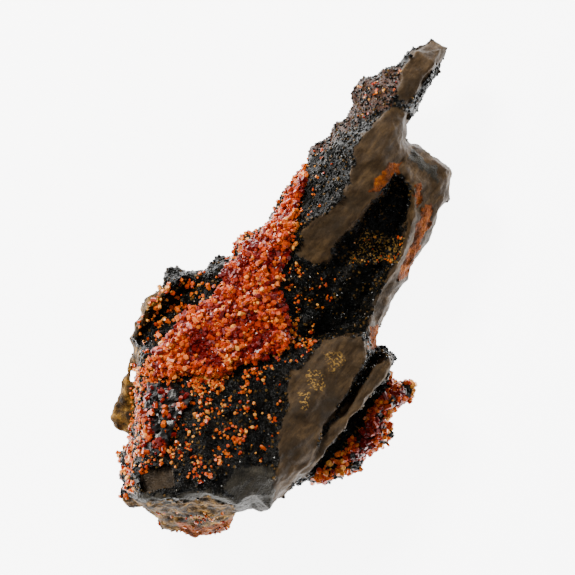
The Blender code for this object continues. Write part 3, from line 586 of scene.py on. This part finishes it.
class MatrixSettings(bpy.types.PropertyGroup):
    voxel: FloatProperty(name="Voxel", description="Fineness of the rock's surface in millimetres",
                         default=0.24, min=0.15)
    lump: FloatProperty(name="Lump", description="Height of the botryoidal lumps in millimetres",
                        default=0.32)
    grains: FloatProperty(name="Grains", description="Druse grains to the square millimetre", default=3.4)
    druse: FloatVectorProperty(name="Druse", description="Black of the druse", subtype="COLOR", size=3,
                               default=(0.0025, 0.003, 0.003))
    fracture: FloatVectorProperty(name="Fracture", description="Brown of the broken faces",
                                  subtype="COLOR", size=3, default=(0.052, 0.031, 0.014))
    ochre: FloatVectorProperty(name="Ochre", description="Earthy coating", subtype="COLOR", size=3,
                               default=(0.1, 0.05, 0.009))
    rust: FloatVectorProperty(name="Rust", description="Orange stain", subtype="COLOR", size=3,
                              default=(0.2, 0.045, 0.003))


class CrystalSettings(bpy.types.PropertyGroup):
    per_area: FloatProperty(name="Crust crystals", description="Crystals to the square millimetre of crust",
                            default=7.5)
    small: FloatProperty(name="Smallest", description="Half width of the smallest crystal in millimetres",
                         default=0.13)
    large: FloatProperty(name="Largest", description="Half width of the largest crystal in millimetres",
                         default=0.46)
    # These colours follow each crystal's shade value. On the crusts that value follows the relief: the deep
    # red is painted shade in the hollows, and orange and cream are painted light and a painted highlight on
    # the raised parts and crests. On single crystals it is a random tone.
    painted_hollow_shade: FloatVectorProperty(name="Deep", description="Colour in the hollows", subtype="COLOR", size=3,
                              default=(0.12, 0.003, 0.002))
    crystal: FloatVectorProperty(name="Crystal", description="Main red of the crystals", subtype="COLOR",
                                 size=3, default=(0.42, 0.032, 0.003))
    orange: FloatVectorProperty(name="Orange", description="Colour of the lighter crystals",
                                subtype="COLOR", size=3, default=(0.62, 0.12, 0.006))
    cream_and_highlight: FloatVectorProperty(name="Cream", description="Colour of the palest crystals", subtype="COLOR",
                               size=3, default=(0.85, 0.38, 0.08))
    seed: IntProperty(name="Seed", description="Start of the random draws", default=11)


class StageSettings(bpy.types.PropertyGroup):
    lens: FloatProperty(name="Lens", description="Focal length in millimetres", default=170.0)
    width: FloatProperty(name="View width", description="Width of the view at mid height",
                         subtype="DISTANCE", default=0.092)
    centre: FloatVectorProperty(name="View centre", description="Where the camera looks, from above",
                                size=2, default=(0.00088, 0.00024))
    glow: FloatProperty(name="Floor glow", description="Light that the white floor gives off", default=7.0)
    key: FloatProperty(name="Key", description="Power of the key light in watts", default=3.6)
    sky: FloatProperty(name="Surroundings", description="Strength of the light all round", default=0.05)


class OBJECT_OT_goethite_matrix(bpy.types.Operator):
    """Builds the rock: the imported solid, made fine, lumpy where it is drusy, and stained"""
    bl_idname = "object.specimen_matrix"
    bl_label = "Goethite matrix"

    def execute(self, context):
        settings = context.scene.specimen_matrix
        rock = copy_of("goethite_matrix", "goethite_matrix_surface")
        apply_modifier(rock, "REMESH", mode="VOXEL", voxel_size=settings.voxel * MM)
        points, normals = read_points(rock.data)
        masks = shade_masks(points, normals)
        even = sum(masks[name] for name in SMOOTH_FINISHES)
        drusy = (1.0 - even) * np.clip(normals[:, 2] + 0.9, 0.25, 1.0)
        lump = (0.5 - cells(points, LUMP_GRAIN)) * settings.lump * 1.6 * drusy
        lump += (0.45 - cells(points, BEAD_GRAIN)) * settings.lump * drusy
        facets = np.abs(field(points + 5.0, FACET_GRAIN)) * FACET_DEPTH * (1 - drusy)
        chips = field(points, CHIP_GRAIN) * (0.12 + 0.1 * drusy) - facets
        raised = points + normals * (lump + chips)[:, None]
        seat = points[:, 2] < SEAT_TOP
        raised[:, 2] = np.where(seat, points[:, 2], np.maximum(raised[:, 2], LOWEST))
        write_points(rock.data, raised)
        triangles = 2 * len(rock.data.polygons)
        if triangles > MOST_TRIANGLES:
            apply_modifier(rock, "DECIMATE", ratio=MOST_TRIANGLES / triangles)
        points, normals = read_points(rock.data)
        for name, values in shade_masks(points, normals).items():
            set_attribute(rock.data, name, values)
        only(rock)
        bpy.ops.object.shade_smooth_by_angle(angle=0.7)
        goethite_material(settings).finish(rock)
        keep(rock, "goethite", "goethite_matrix")
        return {"FINISHED"}


class OBJECT_OT_druse_grains(bpy.types.Operator):
    """Sets small dark crystals over the drusy parts of the rock"""
    bl_idname = "object.specimen_druse"
    bl_label = "Goethite druse"

    def execute(self, context):
        settings = context.scene.specimen_matrix
        rng = np.random.default_rng(DRUSE_SEED)
        rock = bpy.data.objects["goethite_matrix_surface"]

        def drusy(centres, normals):
            masks = shade_masks(centres, normals)
            bare = sum(masks[name] for name in FINISHES if name not in ("redbrown", "gold"))
            return (bare < 0.5) & (normals[:, 2] > -0.3)

        places, normals = surface_samples(rock, rng, settings.grains, drusy)
        widths = rng.uniform(0.12, 0.3, len(places))
        axes = normals + rng.normal(scale=0.5, size=places.shape)
        shades = rng.random(len(places))
        grains = copies("goethite_druse", grain_template(), places, axes, widths,
                        widths * rng.uniform(0.8, 1.4, len(places)), shades, rng)
        druse_material().finish(grains)
        keep(grains, "goethite")
        return {"FINISHED"}


def crust_relief(points):
    """How far the crust is raised at each point, in millimetres: ridged masses with named hollows."""
    along = points @ RIDGE_TURN
    ridges = np.abs(field(along, RIDGE_GRAIN)) * RIDGE_DEPTH
    folds = np.abs(field(points + 31.0, FOLD_GRAIN)) * FOLD_DEPTH
    height = CRUST_LIFT - ridges - folds
    height += field(points, SWELL_GRAIN) * SWELL_HEIGHT
    for x, y, radius, depth in HOLLOWS:
        far = np.hypot(points[:, 0] - x, points[:, 1] - y)
        height -= depth * np.exp(-(far / radius) ** 2)
    return height


def bare_share(points, cover):
    """1 where the crust has no crystals and the black druse shows, by a patchy field."""
    patchy = field(points, 2.2) + 0.5 * field(points + 17.0, 0.9)
    return np.clip((patchy - cover) * 6.0, 0.0, 1.0)


def crust_piece(context, node, name, seed, cover, deepest):
    """A crust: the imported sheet, made lumpy, with crystals all over it but on its bare patches."""
    settings = context.scene.specimen_crystals
    rng = np.random.default_rng(settings.seed + seed)
    crust = copy_of(node, name)
    apply_modifier(crust, "REMESH", mode="VOXEL", voxel_size=CRUST_VOXEL * MM)
    points, normals = read_points(crust.data)
    upper = np.clip(normals[:, 2] + 0.6, 0.0, 1.0)
    relief = crust_relief(points)
    write_points(crust.data, points + normals * (np.maximum(relief, -deepest) * upper)[:, None])
    # Painted shade and light: the sheet is a deeper red where the relief is low and paler where it is high,
    # with a random tone over it
    shades = np.clip(0.3 + 0.3 * relief + 0.15 * field(points, 0.8), 0.0, 1.0)
    set_attribute(crust.data, "shade", shades)
    set_attribute(crust.data, "bare", bare_share(points, cover))
    places, normals = surface_samples(crust, rng, settings.per_area,
                                      lambda centres, normals: normals[:, 2] > -0.35)
    grown = rng.random(len(places)) > bare_share(places, cover) * 0.93
    places, normals = places[grown], normals[grown]
    kept = spread_out(places, CRYSTAL_GAP)
    places, normals = places[kept], normals[kept]
    sizes = settings.small + (settings.large - settings.small) * rng.random(len(places)) ** 2.0
    uneven = rng.normal(scale=0.2, size=len(places))
    # Painted shade and highlight: crystals in the hollows get deep red, those on the crests orange to cream,
    # with the random tone above added
    shades = np.clip(0.42 + 0.28 * crust_relief(places) + uneven, 0.0, 1.0)
    axes = normals + rng.normal(scale=0.5, size=places.shape)
    grown = copies(name + "_grown", crystal_template(), places, axes, sizes,
                   sizes * rng.uniform(0.7, 1.5, len(places)), shades, rng)
    join(crust, [grown])
    crystal_material(name, settings).finish(crust)
    keep(crust, "vanadinite", node)


class OBJECT_OT_main_crust(bpy.types.Operator):
    """Grows the thick crust over the upper left of the rock"""
    bl_idname = "object.specimen_main_crust"
    bl_label = "Main crust"

    def execute(self, context):
        crust_piece(context, "vanadinite_main_crust", "vanadinite_main_growth", 1, 0.75, 0.45)
        return {"FINISHED"}


class OBJECT_OT_small_crusts(bpy.types.Operator):
    """Grows the crusts on the lower druse and on the right ledge"""
    bl_idname = "object.specimen_small_crusts"
    bl_label = "Druse and ledge crusts"

    def execute(self, context):
        crust_piece(context, "vanadinite_druse_crust", "vanadinite_druse_growth", 2, -0.5, 0.1)
        crust_piece(context, "vanadinite_ledge_crust", "vanadinite_ledge_growth", 3, -0.05, 0.1)
        return {"FINISHED"}


class OBJECT_OT_scattered_crystals(bpy.types.Operator):
    """Stands single crystals over the druse, the hollows and the ledge"""
    bl_idname = "object.specimen_scatter"
    bl_label = "Scattered crystals"

    def execute(self, context):
        settings = context.scene.specimen_crystals
        rock = bpy.data.objects["goethite_matrix_surface"]
        made = []
        for index, (name, outline, density, (low, high)) in enumerate(SCATTERS):
            rng = np.random.default_rng(settings.seed + 100 + index)

            def under(centres, normals):
                return inside(centres[:, 0], centres[:, 1], outline) & (normals[:, 2] > -0.2)

            places, normals = surface_samples(rock, rng, density * SCATTER_DRAWS, under)
            if not len(places):
                raise ValueError(f"no face of the rock lies under {name}")
            clumps = field(places, CLUMP_GRAIN) > rng.uniform(*CLUMP_LIMITS, len(places))
            places, normals = places[clumps], normals[clumps]
            most = int(len(places) / PLACES_PER_CRYSTAL)
            kept = spread_out(places, low * SCATTER_GAP)[:most]
            places, normals = places[kept], normals[kept]
            sizes = low + (high - low) * rng.random(len(places)) ** 1.8
            shades = np.clip(0.62 + rng.normal(scale=0.22, size=len(places)), 0.0, 1.0)
            axes = normals + rng.normal(scale=0.4, size=places.shape)
            made.append(copies(f"vanadinite_{index}", crystal_template(), places, axes, sizes,
                               sizes * rng.uniform(0.7, 1.4, len(places)), shades, rng))
        scatter = made[0]
        join(scatter, made[1:])
        scatter.name = "vanadinite_scatter"
        crystal_material("vanadinite_single", settings).finish(scatter)
        keep(scatter, "vanadinite")
        return {"FINISHED"}


def add_lamp(name, place, size, power, colour):
    """A square lamp that shines at the specimen's middle."""
    data = bpy.data.lights.new(name, "AREA")
    data.size = size
    data.energy = power
    data.color = colour
    lamp = bpy.data.objects.new(name, data)
    lamp.location = place
    lamp.rotation_euler = (Vector(MIDDLE) - Vector(place)).to_track_quat("-Z", "Y").to_euler()
    bpy.context.scene.collection.objects.link(lamp)


class OBJECT_OT_specimen_stage(bpy.types.Operator):
    """Adds the pale floor, the soft lights and the camera that looks straight down"""
    bl_idname = "object.specimen_stage"
    bl_label = "Stage"

    def execute(self, context):
        settings = context.scene.specimen_stage
        bpy.ops.object.select_all(action="DESELECT")
        bpy.ops.mesh.primitive_plane_add(size=FLOOR_SIZE, location=(0.0, 0.0, 0.0))
        floor = context.active_object
        floor.name = "floor"
        paper = Nodes("paper")
        paper.shader.inputs["Base Color"].default_value = (0.92, 0.92, 0.92, 1.0)
        paper.shader.inputs["Roughness"].default_value = 0.9
        paper.shader.inputs["Emission Color"].default_value = (*WHITE, 1.0)
        paper.shader.inputs["Emission Strength"].default_value = settings.glow
        paper.finish(floor)
        for name, place, size, share, colour in LAMPS:
            add_lamp(name, place, size, settings.key * share, colour)
        world = bpy.data.worlds.new("studio")
        context.scene.world = world
        world.use_nodes = True
        world.node_tree.nodes["Background"].inputs["Color"].default_value = (*WHITE, 1.0)
        world.node_tree.nodes["Background"].inputs["Strength"].default_value = settings.sky
        data = bpy.data.cameras.new("camera")
        data.lens = settings.lens
        data.clip_end = 10.0
        camera = bpy.data.objects.new("camera", data)
        distance = settings.width * settings.lens / data.sensor_width
        camera.location = (*settings.centre, MIDDLE[2] + distance)
        context.scene.collection.objects.link(camera)
        context.scene.camera = camera
        return {"FINISHED"}


class VIEW3D_PT_specimen(bpy.types.Panel):
    """Lists the steps that dress the specimen"""
    bl_label = "Specimen"
    bl_space_type = "VIEW_3D"
    bl_region_type = "UI"
    bl_category = "Specimen"

    def draw(self, context):
        scene = context.scene
        for group in (scene.specimen_matrix, scene.specimen_crystals, scene.specimen_stage):
            for name in group.bl_rna.properties.keys():
                if name not in ("rna_type", "name"):
                    self.layout.prop(group, name)
        for step in STEPS:
            self.layout.operator(step.bl_idname)


STEPS = (OBJECT_OT_goethite_matrix, OBJECT_OT_druse_grains, OBJECT_OT_main_crust, OBJECT_OT_small_crusts,
         OBJECT_OT_scattered_crystals, OBJECT_OT_specimen_stage)
GROUPS = (("specimen_matrix", MatrixSettings), ("specimen_crystals", CrystalSettings),
          ("specimen_stage", StageSettings))


def register():
    for name, group in GROUPS:
        bpy.utils.register_class(group)
        setattr(bpy.types.Scene, name, PointerProperty(type=group))
    for thing in (*STEPS, VIEW3D_PT_specimen):
        bpy.utils.register_class(thing)


def unregister():
    for thing in (VIEW3D_PT_specimen, *reversed(STEPS)):
        bpy.utils.unregister_class(thing)
    for name, group in reversed(GROUPS):
        delattr(bpy.types.Scene, name)
        bpy.utils.unregister_class(group)


def main():
    register()
    bpy.ops.object.specimen_matrix()
    bpy.ops.object.specimen_druse()
    bpy.ops.object.specimen_main_crust()
    bpy.ops.object.specimen_small_crusts()
    bpy.ops.object.specimen_scatter()
    bpy.ops.object.specimen_stage()


if __name__ == "__main__":
    main()
